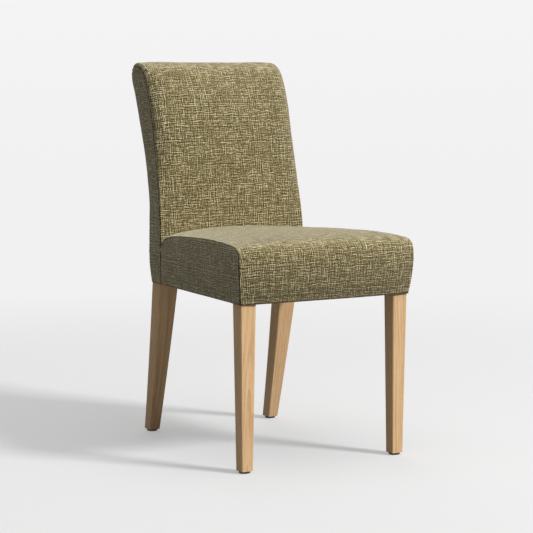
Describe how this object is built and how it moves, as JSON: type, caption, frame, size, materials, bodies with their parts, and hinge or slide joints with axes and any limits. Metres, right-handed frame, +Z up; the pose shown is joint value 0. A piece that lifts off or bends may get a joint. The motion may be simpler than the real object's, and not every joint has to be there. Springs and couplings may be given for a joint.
{
  "type": "parsons chair",
  "caption": "Armless upholstered dining chair with square tapered oak legs, a tight padded seat and a tall padded back that leans rearwards.",
  "frame": {"origin": "on the floor, at the middle of the chair's box seen from above", "axes": "+Z up, the chair faces -Y, +X is to the right of a viewer who stands in front of the chair"},
  "size_m": [0.4548, 0.628, 0.8993],
  "materials": {
    "oak": "clear matt lacquer",
    "frame_wood": "raw",
    "cover_cloth": "slub weave, olive and khaki",
    "foam": "open-cell foam",
    "wadding": "polyester wadding",
    "webbing": "woven elastic strap",
    "steel": "zinc plated",
    "nylon": "moulded",
    "black_cloth": "thin non-woven"
  },
  "bodies": {
    "root": {"front_leg_left": "oak", "front_leg_right": "oak", "rear_leg_left": "oak", "rear_leg_right": "oak", "glide_front_left": "nylon", "glide_front_right": "nylon", "glide_rear_left": "nylon", "glide_rear_right": "nylon", "front_rail": "frame_wood", "rear_rail": "frame_wood", "left_rail": "frame_wood", "right_rail": "frame_wood", "corner_block_front_left": "frame_wood", "corner_block_front_right": "frame_wood", "corner_block_rear_left": "frame_wood", "corner_block_rear_right": "frame_wood", "screw_front_left_1": "steel", "screw_front_left_2": "steel", "screw_front_right_1": "steel", "screw_front_right_2": "steel", "screw_rear_left_1": "steel", "screw_rear_left_2": "steel", "screw_rear_right_1": "steel", "screw_rear_right_2": "steel", "back_rail_low": "frame_wood", "back_rail_middle": "frame_wood", "back_rail_top": "frame_wood", "seat_webbing_long_1": "webbing", "seat_webbing_long_2": "webbing", "seat_webbing_long_3": "webbing", "seat_webbing_long_4": "webbing", "seat_webbing_cross_1": "webbing", "seat_webbing_cross_2": "webbing", "seat_webbing_cross_3": "webbing", "seat_webbing_cross_4": "webbing", "back_webbing_1": "webbing", "back_webbing_2": "webbing", "back_webbing_3": "webbing", "seat_foam": "foam", "back_foam": "foam", "seat_pad_front": "wadding", "seat_pad_left": "wadding", "seat_pad_right": "wadding", "back_pad_left": "wadding", "back_pad_right": "wadding", "back_pad_rear": "wadding", "seat_cover_top": "cover_cloth", "seat_cover_left": "cover_cloth", "seat_cover_right": "cover_cloth", "back_cover_front": "cover_cloth", "back_cover_rear": "cover_cloth", "back_cover_left": "cover_cloth", "back_cover_right": "cover_cloth", "dust_cover": "black_cloth"}
  },
  "joints": []
}
